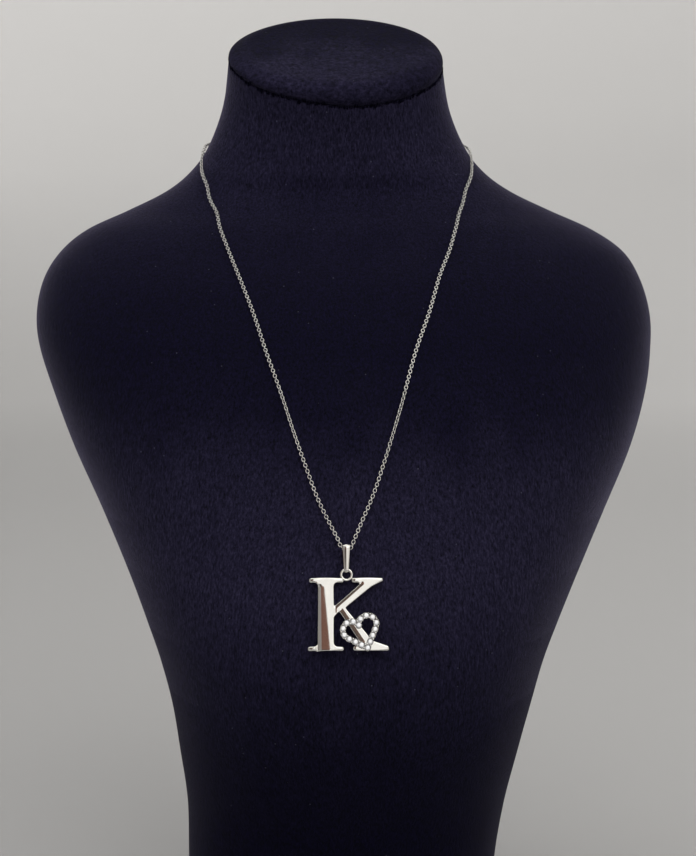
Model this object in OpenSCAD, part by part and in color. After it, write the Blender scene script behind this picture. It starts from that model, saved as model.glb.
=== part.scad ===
// Initial pendant necklace, the letter K with a stone-set heart, on a velvet neck bust.
// Millimetres. The front faces -Y, +Z is up, and the origin is at the middle of the base.

/* [Neck bust] */
// Height of the neck's top above the base, at its middle
bust_h = 309; // [280:1:340]
// Width across the shoulders
shoulder_w = 226; // [200:1:250]
// Depth from the front of the chest to the back of the neck
bust_d = 144; // [125:1:165]
// How far the top of the neck leans forward, in degrees
neck_tilt = 31; // [24:1:36]

/* [Neck cap] */
// Thickness of the padded cap on the neck
cap_h = 7.5; // [5:0.5:10]
// Width of the rounding round the cap's upper edge
cap_edge = 7; // [4:0.5:9]
// Depth of the crease under the cap
cap_crease = 0.9; // [0.5:0.1:1.5]

/* [Chain] */
// Width of the chain, which is the width of one link
chain_w = 1.5; // [1.2:0.1:1.7]
// Clearance between the metal and the cloth
cloth_gap = 0.3; // [0.2:0.05:0.5]

/* [Clasp] */
// Length of the clasp
clasp_l = 11; // [9:0.5:13]
// Width of the clasp
clasp_w = 5; // [4:0.5:6]
// Thickness of the clasp
clasp_t = 2.2; // [1.8:0.1:3]

/* [Bail] */
// Width of the bail at its top
bail_top_w = 2.5; // [2:0.1:2.7]
// Width of the bail at its lower end
bail_low_w = 1.4; // [1:0.1:1.6]
// Thickness of the bail's metal
bail_wall = 0.45; // [0.35:0.05:0.6]
// Clearance between the chain and the bail's upper loop
eye_gap = 0.7; // [0.6:0.05:0.9]
// Clearance between the hanging ring's wire and the bail's lower loop
hook_gap = 0.33; // [0.25:0.01:0.4]
// Distance between the chain and the hanging ring's wire
bail_drop = 6.45; // [5:0.05:9]

/* [Letter] */
// Width of the letter
letter_w = 26.4; // [24:0.1:30]
// Height of the letter
letter_h = 24; // [21:0.1:28]
// Thickness of the letter
letter_t = 2.2; // [1.8:0.1:3]
// Width of the thick upright
stem_w = 5.3; // [4.5:0.1:6]
// Height of the serifs
serif_h = 1.7; // [1.5:0.05:2]
// Width of the lower diagonal, across at its foot
leg_w = 3.8; // [3.4:0.1:4.4]
// Outer diameter of the hanging ring
ring_d = 4.35; // [4:0.05:4.8]
// Diameter of the hanging ring's wire
ring_wire = 0.93; // [0.8:0.01:1]

/* [Heart setting] */
// Radius of the heart's two lobes, along the middle of the band
lobe_r = 2.85; // [2.8:0.05:3.1]
// Half the distance between the middles of the lobes
lobe_x = 2.75; // [2.5:0.05:2.85]
// Distance from the lobes' middles down to the heart's tip
tip_drop = 7.1; // [6.5:0.05:7.6]
// Width of the stone-set band
band_w = 2.1; // [2.05:0.05:2.5]
// Thickness of the stone-set band
band_t = 1.5; // [1.4:0.05:1.8]
// How far the heart leans to the right, in degrees
heart_turn = 21; // [15:1:27]
// Number of stones in the heart
stone_count = 16; // [16]
// Diameter of a stone
stone_d = 1.7; // [1.4:0.05:1.75]
// Clearance between a stone and its seat
seat_gap = 0.06; // [0.04:0.01:0.1]
// Diameter of the small posts that hold the stones
prong_d = 0.6; // [0.5:0.02:0.66]

/* [Hidden] */

// Columns of the section table
HEIGHT = 0;
HALF = 1;
CENTRE = 2;
FRONT = 3;
WIDEST = 4;
BACK = 5;
FRONT_N = 6;
BACK_N = 7;
TILT = 8;

// Sections of the bust from the base to the top of the neck.
// height is a share of bust_h, half width and centre are shares of shoulder_w,
// front, widest and back are shares of bust_d, measured forward from the back plane,
// the two roundnesses are exponents, 2 for an ellipse, and tilt is a share of neck_tilt.
sections = [
    [0.000, 0.244, -0.007, 0.799, 0.493, 0.118, 2.5, 3.0, 0.00],
    [0.074, 0.246, -0.007, 0.830, 0.493, 0.118, 2.5, 3.0, 0.00],
    [0.149, 0.254,  0.000, 0.885, 0.493, 0.118, 2.4, 3.0, 0.00],
    [0.214, 0.271,  0.005, 0.941, 0.486, 0.115, 2.3, 3.0, 0.00],
    [0.269, 0.287,  0.009, 0.980, 0.472, 0.111, 2.3, 3.0, 0.00],
    [0.317, 0.307,  0.010, 0.999, 0.448, 0.104, 2.2, 3.0, 0.00],
    [0.356, 0.327,  0.011, 0.996, 0.431, 0.101, 2.2, 3.0, 0.00],
    [0.414, 0.360,  0.013, 0.965, 0.406, 0.097, 2.2, 3.0, 0.00],
    [0.485, 0.404,  0.014, 0.907, 0.375, 0.090, 2.2, 3.0, 0.00],
    [0.557, 0.450,  0.013, 0.847, 0.344, 0.083, 2.2, 3.0, 0.00],
    [0.621, 0.481,  0.009, 0.783, 0.316, 0.076, 2.2, 3.0, 0.00],
    [0.673, 0.498,  0.002, 0.715, 0.295, 0.069, 2.2, 3.0, 0.00],
    [0.712, 0.500, -0.001, 0.653, 0.285, 0.063, 2.2, 2.9, 0.00],
    [0.751, 0.487, -0.003, 0.587, 0.274, 0.056, 2.2, 2.8, 0.00],
    [0.783, 0.460, -0.003, 0.524, 0.264, 0.049, 2.2, 2.6, 0.00],
    [0.809, 0.413, -0.007, 0.476, 0.257, 0.045, 2.1, 2.4, 0.00],
    [0.832, 0.344, -0.008, 0.431, 0.250, 0.042, 2.0, 2.2, 0.00],
    [0.854, 0.283, -0.009, 0.399, 0.236, 0.042, 2.0, 2.0, 0.00],
    [0.877, 0.242, -0.011, 0.396, 0.219, 0.042, 2.0, 2.0, 0.13],
    [0.906, 0.212, -0.012, 0.389, 0.212, 0.035, 2.0, 2.0, 0.32],
    [0.951, 0.187, -0.013, 0.399, 0.208, 0.017, 2.0, 2.0, 0.65],
    [1.000, 0.175, -0.013, 0.426, 0.216, 0.006, 2.0, 2.0, 1.00]
];
top_station = len(sections) - 1;
// Middle of the whole object, as a share of bust_d in front of the back plane
middle_share = 0.519;
// Rings between two sections, and points round a ring
rings_per_section = 2;
ring_points = 48;

// Chain route on the cloth, one row a point: station in the section table, angle round
// the section in degrees, 0 at the front and 90 at the right side, and lift in chain widths.
right_route = [
    [19.0, 142, 0], [19.0, 108, 0], [18.70, 79.5, 0], [17.35, 51, 0], [16.10, 35, 0],
    [15.10, 25.5, 0], [13.85, 18, 0], [12.15, 12.8, 0], [10.70, 8.9, 0], [9.65, 5.8, 0],
    [8.75, 2.7, 0], [8.35, 0.9, 0.27]
];
left_route = [
    [8.35, -5.2, 0.27], [8.75, -7, 0], [9.65, -9.6, 0], [10.90, -12, 0], [12.40, -15, 0],
    [14.20, -21.5, 0], [15.50, -30, 0], [16.50, -41.5, 0], [17.70, -58, 0], [18.90, -86, 0],
    [19.0, -112, 0], [19.0, -144, 0]
];
// Chain points inside the bail, one side: across and up from the lowest point, in chain widths
hanging_route = [[0, 0], [0.55, 0.03], [0.95, 0.32], [1.33, 0.95], [1.60, 1.9]];
steps_per_point = 3;
chain_sides = 8;
clasp_station = 19;

// The pendant hangs a little left of the bust's middle
pendant_x = shoulder_w * -0.0035;
hang_station = 7.86;
// Angle between the bail and the chest, towards the chest at the lower end
bail_tuck = 6;

// Bust surface
function catmull(a, b, c, d, f) =
    (2 * b + (c - a) * f + (2 * a - 5 * b + 4 * c - d) * f * f
    + (3 * b - a - 3 * c + d) * f * f * f) / 2;

function section(station) =
    let (i = min(floor(station), top_station - 1))
    catmull(sections[max(i - 1, 0)], sections[i], sections[i + 1],
        sections[min(i + 2, top_station)], station - i);

function depth_to_y(share) = (middle_share - share) * bust_d;

// Point of a section at an angle, moved inward in the section's plane by inset
function section_point(s, angle, inset = 0) =
    let (n = cos(angle) > 0 ? s[FRONT_N] : s[BACK_N],
        across = s[HALF] * shoulder_w - inset,
        reach = (cos(angle) > 0 ? s[FRONT] - s[WIDEST] : s[WIDEST] - s[BACK]) * bust_d - inset,
        x = sign(sin(angle)) * across * pow(abs(sin(angle)), 2 / n),
        q = -sign(cos(angle)) * reach * pow(abs(cos(angle)), 2 / n),
        lean = s[TILT] * neck_tilt)
    [s[CENTRE] * shoulder_w + x, depth_to_y(s[WIDEST]) + q * cos(lean),
        s[HEIGHT] * bust_h + q * sin(lean)];

function bust_point(station, angle) = section_point(section(station), angle);

function unit(v) = v / norm(v);

// Outward normal of the cloth
function bust_normal(station, angle) =
    unit(cross(bust_point(station, angle + 0.5) - bust_point(station, angle - 0.5),
        bust_point(station + 0.02, angle) - bust_point(station - 0.02, angle)));

// Angle of the point of a section that lies at x, on the front
function angle_at(s, x) =
    let (share = (x - s[CENTRE] * shoulder_w) / (s[HALF] * shoulder_w))
    sign(share) * asin(pow(abs(share), s[FRONT_N] / 2));

// Faces of a closed skin through rings of n points, the first and last ring flat
function skin_faces(rings, n) = concat(
    [[for (i = [0:n - 1]) i]],
    [for (r = [0:rings - 2], i = [0:n - 1])
        [r * n + i, (r + 1) * n + (i + 1) % n, r * n + (i + 1) % n]],
    [for (r = [0:rings - 2], i = [0:n - 1])
        [r * n + i, (r + 1) * n + i, (r + 1) * n + (i + 1) % n]],
    [[for (i = [n - 1:-1:0]) (rings - 1) * n + i]]
);

module skin(rings) {
    n = len(rings[0]);
    polyhedron(points = [for (ring = rings, p = ring) p], faces = skin_faces(len(rings), n));
}

function ring_angles() = [for (i = [0:ring_points - 1]) i * 360 / ring_points];

// Top of the neck: middle and direction of the cap
neck_top = sections[top_station];
cap_up = [0, -sin(neck_tilt), cos(neck_tilt)];
// The neck's upper edge turns in under the cap
neck_edge = cap_edge * 0.13;

function lifted(points, h) = [for (p = points) p + h * cap_up];

module bust() {
    step = 1 / rings_per_section;
    body = [for (t = [0:step:top_station]) [for (a = ring_angles()) bust_point(t, a)]];
    edge = lifted([for (a = ring_angles()) section_point(neck_top, a, neck_edge)], neck_edge / 2);
    color("midnightblue") skin(concat(body, [edge]));
}

// Cap outline from below: inset and height, shares of the crease or edge and of the thickness
cap_rows = [
    [cap_crease, 0], [cap_crease * 0.2, 0.1 * cap_h], [0, 0.32 * cap_h],
    [cap_edge * 0.04, 0.58 * cap_h], [cap_edge * 0.18, 0.81 * cap_h],
    [cap_edge * 0.46, 0.95 * cap_h], [cap_edge, cap_h]
];

module neck_cap() {
    seat = neck_edge / 2 + cloth_gap;
    color("midnightblue") skin([for (row = cap_rows)
        lifted([for (a = ring_angles()) section_point(neck_top, a, row[0])], seat + row[1])]);
}

// Pendant placement, worked out from the chest
hang_section = section(hang_station);
hang_angle = angle_at(hang_section, pendant_x);
chest_normal = bust_normal(hang_station, hang_angle);
chest_lean = atan2(chest_normal[2], -chest_normal[1]);
eye_r = chain_w / 2 + eye_gap;
hook_r = ring_wire / 2 + hook_gap;
standoff = eye_r + bail_wall + cloth_gap;
hang_point = section_point(hang_section, hang_angle)
    + standoff * [0, -cos(chest_lean), sin(chest_lean)];
bail_lean = chest_lean - bail_tuck;
ring_point = hang_point - bail_drop * [0, sin(bail_lean), cos(bail_lean)];

// Lean at which the letter's back just clears the chest at one station
function rest_lean(station) =
    let (p = bust_point(station, 0), fore = ring_point[1] - p[1], down = ring_point[2] - p[2],
        clear = letter_t / 2 + cloth_gap)
    atan2(fore, down) + asin(clear / norm([fore, down]));

letter_lean = max([for (t = [6.2:0.1:7.4]) rest_lean(t)]);

// Chain
function spread(route) = concat(
    [for (i = [0:len(route) - 2], k = [0:steps_per_point - 1])
        catmull(route[max(i - 1, 0)], route[i], route[i + 1],
            route[min(i + 2, len(route) - 1)], k / steps_per_point)],
    [route[len(route) - 1]]
);

function on_cloth(row) =
    bust_point(row[0], row[1])
    + (chain_w * (0.5 + row[2]) + cloth_gap) * bust_normal(row[0], row[1]);

function hanging(side) = [for (p = hanging_route)
    hang_point + chain_w * [side * p[0], p[1] * sin(chest_lean), p[1] * cos(chest_lean)]];

clasp_section = section(clasp_station);
clasp_angle = 180 - asin((clasp_l / 2 + 2 * cloth_gap) / (clasp_section[HALF] * shoulder_w));

chain_points = concat(
    [for (row = spread(concat([[clasp_station, clasp_angle, 0]], right_route))) on_cloth(row)],
    [for (i = [len(hanging_route) - 1:-1:1]) hanging(1)[i]],
    hanging(-1),
    [for (row = spread(concat(left_route, [[clasp_station, -clasp_angle, 0]]))) on_cloth(row)]
);

function along(points, i) =
    unit(points[min(i + 1, len(points) - 1)] - points[max(i - 1, 0)]);

module tube(points, d, sides) {
    rings = [for (i = [0:len(points) - 1])
        let (t = along(points, i), out = [points[i][0], points[i][1], 0],
            side = unit(cross(t, out)), up = cross(t, side))
        [for (k = [0:sides - 1])
            points[i] + d / 2 * (cos(k * 360 / sides) * side + sin(k * 360 / sides) * up)]];
    skin(rings);
}

module chain() {
    color("silver") tube(chain_points, chain_w, chain_sides);
}

// Clasp, flat against the back of the neck
module clasp() {
    out = bust_normal(clasp_station, 180);
    lean = atan2(out[2], out[1]);
    r = clasp_w / 2;
    wall = clasp_w * 0.26;
    color("silver")
        translate(bust_point(clasp_station, 180) + 1.5 * cloth_gap * out)
            rotate([lean - 90, 0, 0])
                linear_extrude(clasp_t)
                    difference() {
                        union() {
                            translate([-clasp_l / 2 + r, 0]) circle(r, $fn = 32);
                            translate([clasp_l / 2 - r, 0]) circle(r, $fn = 32);
                            square([clasp_l - clasp_w, clasp_w], center = true);
                        }
                        translate([-clasp_l / 2 + r, 0]) circle(r - wall, $fn = 32);
                        square([clasp_l - clasp_w, clasp_w - 2 * wall], center = true);
                    }
}

// Outline of a drop: two circles, the lower one length below, joined by their tangents
module drop_outline(r_top, r_low, length) {
    lean = asin((r_top - r_low) / length);
    circle(r_top, $fn = 48);
    translate([0, -length]) circle(r_low, $fn = 48);
    polygon([
        r_top * [-cos(lean), sin(lean)], [0, -length] + r_low * [-cos(lean), sin(lean)],
        [0, -length] + r_low * [cos(lean), sin(lean)], r_top * [cos(lean), sin(lean)]
    ]);
}

// Bail, a strip bent into a drop, wide where it carries the chain
module bail() {
    top = eye_r + bail_wall;
    low = -bail_drop - hook_r - bail_wall;
    reach = 2 * top;
    color("silver")
        translate(hang_point) rotate([-bail_lean, 0, 0])
            intersection() {
                translate([-bail_top_w, 0, 0]) rotate([90, 0, 90])
                    linear_extrude(2 * bail_top_w)
                        difference() {
                            drop_outline(top, hook_r + bail_wall, bail_drop);
                            drop_outline(eye_r, hook_r, bail_drop);
                        }
                translate([0, reach, 0]) rotate([90, 0, 0])
                    linear_extrude(2 * reach)
                        polygon([
                            [-bail_top_w / 2, top], [-bail_low_w / 2, low],
                            [bail_low_w / 2, low], [bail_top_w / 2, top]
                        ]);
            }
}

// Letter outline, counter-clockwise from the foot of the stem: across, up and corner
// radius, the radius a share of serif_h
end_r = 0.46;
bracket_r = 0.65;
crotch_r = 0.12;
stem_l = letter_w * 0.125;
stem_r = stem_l + stem_w;
serif_out = letter_w * 0.124;
top_l = letter_w * 0.015;
top_under = letter_h - serif_h * 1.09;
arm_l = letter_w * 0.54;
leg_l = letter_w * 0.551;
leg_foot = letter_w * 0.655;
leg_end = [leg_foot + leg_w, serif_h * 2];
letter_corners = [
    [0, 0, end_r], [stem_r + serif_out, 0, end_r], [stem_r + serif_out, serif_h, end_r],
    [stem_r, serif_h, bracket_r], [stem_r, letter_h * 0.457, crotch_r],
    [letter_w * 0.386, letter_h * 0.53, crotch_r], [leg_foot, serif_h * 1.2, 0.47],
    [leg_l, serif_h * 1.15, 0.5], [leg_l, 0, 0.5], [letter_w, 0, end_r],
    [letter_w, serif_h, end_r], [leg_end[0], leg_end[1], 1.5],
    [letter_w * 0.47, letter_h * 0.583, crotch_r], [letter_w * 0.788, letter_h * 0.87, 3],
    [letter_w * 0.93, letter_h * 0.963, 0.2], [letter_w * 0.932, letter_h, 0.24],
    [arm_l, letter_h, end_r], [arm_l, top_under, end_r], [letter_w * 0.653, top_under, 0.18],
    [stem_r, letter_h * 0.609, crotch_r], [stem_r, top_under, bracket_r],
    [stem_r + serif_out, top_under, end_r], [stem_r + serif_out, letter_h, end_r],
    [top_l, letter_h, end_r], [top_l, top_under, end_r], [stem_l, top_under, bracket_r],
    [stem_l, serif_h, bracket_r], [0, serif_h, end_r]
];
corner_steps = 4;

function flat(p) = [p[0], p[1]];
function left_of(v) = [-v[1], v[0]];

// Corner i with its edges moved inward by inset
function inset_corner(rows, i, inset) =
    let (n = len(rows), b = flat(rows[i]),
        n1 = left_of(unit(b - flat(rows[(i + n - 1) % n]))),
        n2 = left_of(unit(flat(rows[(i + 1) % n]) - b)))
    b + (n1 + n2) * inset / (1 + n1 * n2);

// Outline with round corners, its edges moved inward by inset
function rounded(rows, inset) =
    let (n = len(rows), pts = [for (i = [0:n - 1]) inset_corner(rows, i, inset)])
    [for (i = [0:n - 1])
        let (b = pts[i], d1 = unit(b - pts[(i + n - 1) % n]), d2 = unit(pts[(i + 1) % n] - b),
            turn = atan2(d1[0] * d2[1] - d1[1] * d2[0], d1 * d2),
            r = max(rows[i][2] * serif_h - sign(turn) * inset, serif_h * 0.02),
            reach = r * tan(abs(turn) / 2),
            middle = b - d1 * reach + sign(turn) * r * left_of(d1))
        for (k = [0:corner_steps])
            let (a = turn * k / corner_steps, from = -sign(turn) * left_of(d1))
            middle + r * [from[0] * cos(a) - from[1] * sin(a), from[0] * sin(a) + from[1] * cos(a)]];

// Steps of the letter's soft front edge: height reached and inset, shares of letter_t
letter_levels = [[0.60, 0], [0.78, 0.03], [0.91, 0.085], [1, 0.165]];

module letter_body() {
    for (i = [0:len(letter_levels) - 1]) {
        level = letter_levels[i];
        start = i == 0 ? 0 : 0.3 * letter_t;
        translate([0, 0, start])
            linear_extrude(level[0] * letter_t - start) polygon(rounded(letter_corners, level[1] * letter_t));
    }
}

// Hanging ring, soldered between the two upper serifs
ring_r = (ring_d - ring_wire) / 2;
ring_u = letter_w * 0.48;
ring_v = letter_h + ring_d * 0.218;

module hanging_ring() {
    translate([ring_u, ring_v, letter_t / 2])
        rotate_extrude($fn = 48)
            translate([ring_r, 0]) circle(d = ring_wire, $fn = 16);
}

// Heart: half of its middle line runs from the cleft over a lobe and straight to the tip
cleft = sqrt(lobe_r * lobe_r - lobe_x * lobe_x);
tip_far = norm([lobe_x, tip_drop]);
straight = sqrt(tip_far * tip_far - lobe_r * lobe_r);
straight_angle = atan2(tip_drop, lobe_x) - asin(lobe_r / tip_far);
cleft_angle = atan2(cleft, -lobe_x);
join_angle = straight_angle - 90;
lobe_length = lobe_r * (cleft_angle - join_angle) * PI / 180;
half_length = lobe_length + straight;
heart_u = letter_w * 0.637;
heart_v = letter_h * 0.314;
band_low = letter_t * 0.61;
band_top = band_low + band_t;

// Point of the middle line at length s from the cleft, right half
function half_heart(s) = s < lobe_length
    ? let (a = cleft_angle - s / lobe_r * 180 / PI) [lobe_x, 0] + lobe_r * [cos(a), sin(a)]
    : [0, -tip_drop] + (half_length - s) * [cos(straight_angle), sin(straight_angle)];

function heart_point(s) = s <= half_length
    ? half_heart(s)
    : let (p = half_heart(2 * half_length - s)) [-p[0], p[1]];

function heart_out(s) =
    let (t = unit(heart_point(s + 0.05) - heart_point(s - 0.05))) left_of(t);

pitch = 2 * half_length / stone_count;

module in_heart() {
    translate([heart_u, heart_v, 0]) rotate([0, 0, heart_turn]) children();
}

module half_band() {
    far = 3 * lobe_r;
    middle = (cleft_angle + join_angle + 360) / 2;
    translate([lobe_x, 0]) difference() {
        circle(lobe_r + band_w / 2, $fn = 64);
        circle(lobe_r - band_w / 2, $fn = 48);
        polygon([
            [0, 0], far * [cos(cleft_angle), sin(cleft_angle)],
            far * [cos(middle), sin(middle)], far * [cos(join_angle), sin(join_angle)]
        ]);
    }
    translate([0, -tip_drop]) rotate([0, 0, straight_angle])
        translate([0, -band_w / 2]) square([straight, band_w]);
}

module heart_band() {
    translate([0, 0, band_low]) linear_extrude(band_t) {
        half_band();
        mirror([1, 0]) half_band();
        translate([0, cleft]) circle(d = band_w, $fn = 32);
        translate([0, -tip_drop]) circle(d = band_w, $fn = 32);
    }
}

// Posts in pairs between the stones
module prongs() {
    for (i = [0:stone_count - 1], side = [-1, 1]) {
        s = (i + 0.5) * pitch;
        p = heart_point(s) + side * (band_w / 2 - prong_d * 0.72) * heart_out(s);
        translate([p[0], p[1], band_low + band_t / 2])
            cylinder(d = prong_d, h = band_t / 2 + stone_d * 0.2, $fn = 16);
    }
}

// A seat under each stone, a little deeper than the stone
module seats() {
    depth = stone_d * 0.7;
    for (i = [0:stone_count - 1]) {
        p = heart_point(i * pitch);
        translate([p[0], p[1], band_top - depth])
            cylinder(d = stone_d + 2 * seat_gap, h = band_t, $fn = 32);
    }
}

// Puts the letter's own frame into place: the ring's upper wire is the hanging point
module in_letter() {
    translate(ring_point) rotate([90 - letter_lean, 0, 0])
        translate([-ring_u, -ring_v - ring_r, -letter_t / 2]) children();
}

module letter() {
    color("silver") in_letter() difference() {
        union() {
            letter_body();
            hanging_ring();
            in_heart() heart_band();
            in_heart() prongs();
        }
        in_heart() seats();
    }
}

// Round brilliant: table of 8 sides, crown, thin girdle of 16 sides and a pointed pavilion
module brilliant(d) {
    table_r = d * 0.29;
    crown_h = d * 0.16;
    girdle_h = d * 0.04;
    pavilion_h = d * 0.42;
    points = concat(
        [for (i = [0:7]) [table_r * cos(45 * i), table_r * sin(45 * i), crown_h + girdle_h]],
        [for (z = [girdle_h, 0], i = [0:15]) [d / 2 * cos(22.5 * i), d / 2 * sin(22.5 * i), z]],
        [[0, 0, -pavilion_h]]
    );
    faces = concat(
        [[for (i = [7:-1:0]) i]],
        [for (i = [0:7]) [i, 8 + 2 * i + 1, 8 + 2 * i]],
        [for (i = [0:7]) [i, (i + 1) % 8, 8 + 2 * i + 1]],
        [for (i = [0:7]) [(i + 1) % 8, 8 + (2 * i + 2) % 16, 8 + 2 * i + 1]],
        [for (i = [0:15]) [8 + i, 8 + (i + 1) % 16, 24 + (i + 1) % 16]],
        [for (i = [0:15]) [8 + i, 24 + (i + 1) % 16, 24 + i]],
        [for (i = [0:15]) [24 + i, 24 + (i + 1) % 16, 40]]
    );
    polyhedron(points, faces);
}

module stone(i) {
    p = heart_point((i - 1) * pitch);
    color("white") in_letter() in_heart()
        translate([p[0], p[1], band_top - stone_d * 0.1]) brilliant(stone_d);
}

bust();
neck_cap();
chain();
clasp();
bail();
letter();
for (i = [1:stone_count])
    stone(i);
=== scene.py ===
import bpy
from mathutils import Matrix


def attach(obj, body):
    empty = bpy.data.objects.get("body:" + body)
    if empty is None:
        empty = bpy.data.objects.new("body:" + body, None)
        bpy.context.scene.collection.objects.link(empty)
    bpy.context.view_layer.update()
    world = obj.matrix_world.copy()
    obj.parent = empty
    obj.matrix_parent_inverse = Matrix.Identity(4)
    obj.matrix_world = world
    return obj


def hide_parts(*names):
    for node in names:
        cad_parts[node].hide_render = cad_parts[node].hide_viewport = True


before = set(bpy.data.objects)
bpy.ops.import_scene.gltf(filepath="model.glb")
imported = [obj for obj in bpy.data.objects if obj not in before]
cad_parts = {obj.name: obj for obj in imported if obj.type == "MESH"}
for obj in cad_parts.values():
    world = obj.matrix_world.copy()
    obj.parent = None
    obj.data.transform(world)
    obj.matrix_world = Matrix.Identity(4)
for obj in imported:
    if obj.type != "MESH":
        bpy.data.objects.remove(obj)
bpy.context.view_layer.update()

import math
import random

import bpy
import numpy as np
from mathutils import Matrix, Vector
from mathutils.geometry import delaunay_2d_cdt

# Camera: it stands in front of the bust, a little to its left and above the pendant,
# and looks slightly down. The picture ends a few centimetres above the foot.
EYE = Vector((-0.01078, -0.6633, 0.2618))
LOOK = Vector((0.01732, 0.99239, -0.12187))
SENSOR = 36.0
FOCAL = 79.07

camera_data = bpy.data.cameras.new("camera")
camera_data.sensor_fit = "VERTICAL"
camera_data.sensor_height = SENSOR
camera_data.lens = FOCAL
camera_data.clip_start = 0.02
camera_data.clip_end = 20
camera = bpy.data.objects.new("camera", camera_data)
bpy.context.scene.collection.objects.link(camera)
camera.matrix_world = (
    Matrix.Translation(EYE) @ LOOK.to_track_quat("-Z", "Y").to_matrix().to_4x4()
)
bpy.context.scene.camera = camera


# Neck bust: a light moulded core in the form of a neck, shoulders and chest, covered in
# navy velvet that is stretched over it, glued down and turned in under the flat foot.
# Its pile stands upright, in fine vertical streaks, and catches light at the edges.
MM = 0.001
BUST_H = 309
SHOULDER_W = 226
BUST_D = 144
NECK_TILT = math.radians(31)
MIDDLE = 0.519
# Sections from the foot up, as shares of the sizes above: height, half width and middle
# across; front, widest place and back in depth; roundness before and behind; tilt.
HEIGHT, HALF, CENTRE, FRONT, WIDEST, BACK, FRONT_N, BACK_N, TILT = range(9)
SECTIONS = np.array([
    [0.000, 0.244, -0.007, 0.799, 0.493, 0.118, 2.5, 3.0, 0.00],
    [0.074, 0.246, -0.007, 0.830, 0.493, 0.118, 2.5, 3.0, 0.00],
    [0.149, 0.254, 0.000, 0.885, 0.493, 0.118, 2.4, 3.0, 0.00],
    [0.214, 0.271, 0.005, 0.941, 0.486, 0.115, 2.3, 3.0, 0.00],
    [0.269, 0.287, 0.009, 0.980, 0.472, 0.111, 2.3, 3.0, 0.00],
    [0.317, 0.307, 0.010, 0.999, 0.448, 0.104, 2.2, 3.0, 0.00],
    [0.356, 0.327, 0.011, 0.996, 0.431, 0.101, 2.2, 3.0, 0.00],
    [0.414, 0.360, 0.013, 0.965, 0.406, 0.097, 2.2, 3.0, 0.00],
    [0.485, 0.404, 0.014, 0.907, 0.375, 0.090, 2.2, 3.0, 0.00],
    [0.557, 0.450, 0.013, 0.847, 0.344, 0.083, 2.2, 3.0, 0.00],
    [0.621, 0.481, 0.009, 0.783, 0.316, 0.076, 2.2, 3.0, 0.00],
    [0.673, 0.498, 0.002, 0.715, 0.295, 0.069, 2.2, 3.0, 0.00],
    [0.712, 0.500, -0.001, 0.653, 0.285, 0.063, 2.2, 2.9, 0.00],
    [0.751, 0.487, -0.003, 0.587, 0.274, 0.056, 2.2, 2.8, 0.00],
    [0.783, 0.460, -0.003, 0.524, 0.264, 0.049, 2.2, 2.6, 0.00],
    [0.809, 0.413, -0.007, 0.476, 0.257, 0.045, 2.1, 2.4, 0.00],
    [0.832, 0.344, -0.008, 0.431, 0.250, 0.042, 2.0, 2.2, 0.00],
    [0.854, 0.283, -0.009, 0.399, 0.236, 0.042, 2.0, 2.0, 0.00],
    [0.877, 0.242, -0.011, 0.396, 0.219, 0.042, 2.0, 2.0, 0.13],
    [0.906, 0.212, -0.012, 0.389, 0.212, 0.035, 2.0, 2.0, 0.32],
    [0.951, 0.187, -0.013, 0.399, 0.208, 0.017, 2.0, 2.0, 0.65],
    [1.000, 0.175, -0.013, 0.426, 0.216, 0.006, 2.0, 2.0, 1.00],
])
TOP_STATION = len(SECTIONS) - 1
CLOTH_ANGLES = np.arange(0, 360, 1.5)
ROWS_PER_SECTION = 8
FOOT_ROUND = 1.4
FOOT_STEPS = 5
FIRST_STATION = 0.125
CAP_EDGE = 7
NECK_EDGE = CAP_EDGE * 0.13
SADDLE = 1.8
CAP_ROLL = 1.7
SADDLE_ROWS = 5
PILE_TOP = 0.33
PILE_WANDER = 0.016
PILE_DYE = [(0.0010, 1.5), (0.0004, 1.32), (0.0135, 2.35)]


def catmull(a, b, c, d, f):
    return (
        2 * b
        + (c - a) * f
        + (2 * a - 5 * b + 4 * c - d) * f * f
        + (3 * b - a - 3 * c + d) * f**3
    ) / 2


def spline(rows, t):
    """The place t on a smooth curve through rows of numbers."""
    rows = np.asarray(rows, float)
    last = len(rows) - 1
    i = min(int(math.floor(t)), last - 1)
    return catmull(rows[max(i - 1, 0)], rows[i], rows[i + 1], rows[min(i + 2, last)], t - i)


def section_point(s, angle, inset=0.0):
    """Points of a section of the bust, in millimetres, at angles from the front."""
    turn = np.radians(angle)
    fore, across = np.cos(turn), np.sin(turn)
    n = np.where(fore > 0, s[FRONT_N], s[BACK_N])
    reach = np.where(fore > 0, s[FRONT] - s[WIDEST], s[WIDEST] - s[BACK]) * BUST_D - inset
    half = s[HALF] * SHOULDER_W - inset
    x = np.sign(across) * half * np.abs(across) ** (2 / n)
    q = -np.sign(fore) * reach * np.abs(fore) ** (2 / n)
    lean = s[TILT] * NECK_TILT
    return np.stack([
        s[CENTRE] * SHOULDER_W + x,
        (MIDDLE - s[WIDEST]) * BUST_D + q * math.cos(lean),
        s[HEIGHT] * BUST_H + q * math.sin(lean),
    ], axis=-1)


def cloth_point(station, angle):
    return section_point(spline(SECTIONS, station), angle)


def unit(v):
    v = np.asarray(v, float)
    return v / np.linalg.norm(v, axis=-1, keepdims=True)


def cloth_normal(station, angle):
    return unit(np.cross(
        cloth_point(station, angle + 0.5) - cloth_point(station, angle - 0.5),
        cloth_point(station + 0.02, angle) - cloth_point(station - 0.02, angle),
    ))


def shape(name, points, faces, material):
    """A new object made of points in metres."""
    mesh = bpy.data.meshes.new(name)
    mesh.from_pydata(points, [], faces)
    mesh.materials.append(material)
    made = bpy.data.objects.new(name, mesh)
    bpy.context.scene.collection.objects.link(made)
    return made


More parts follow.
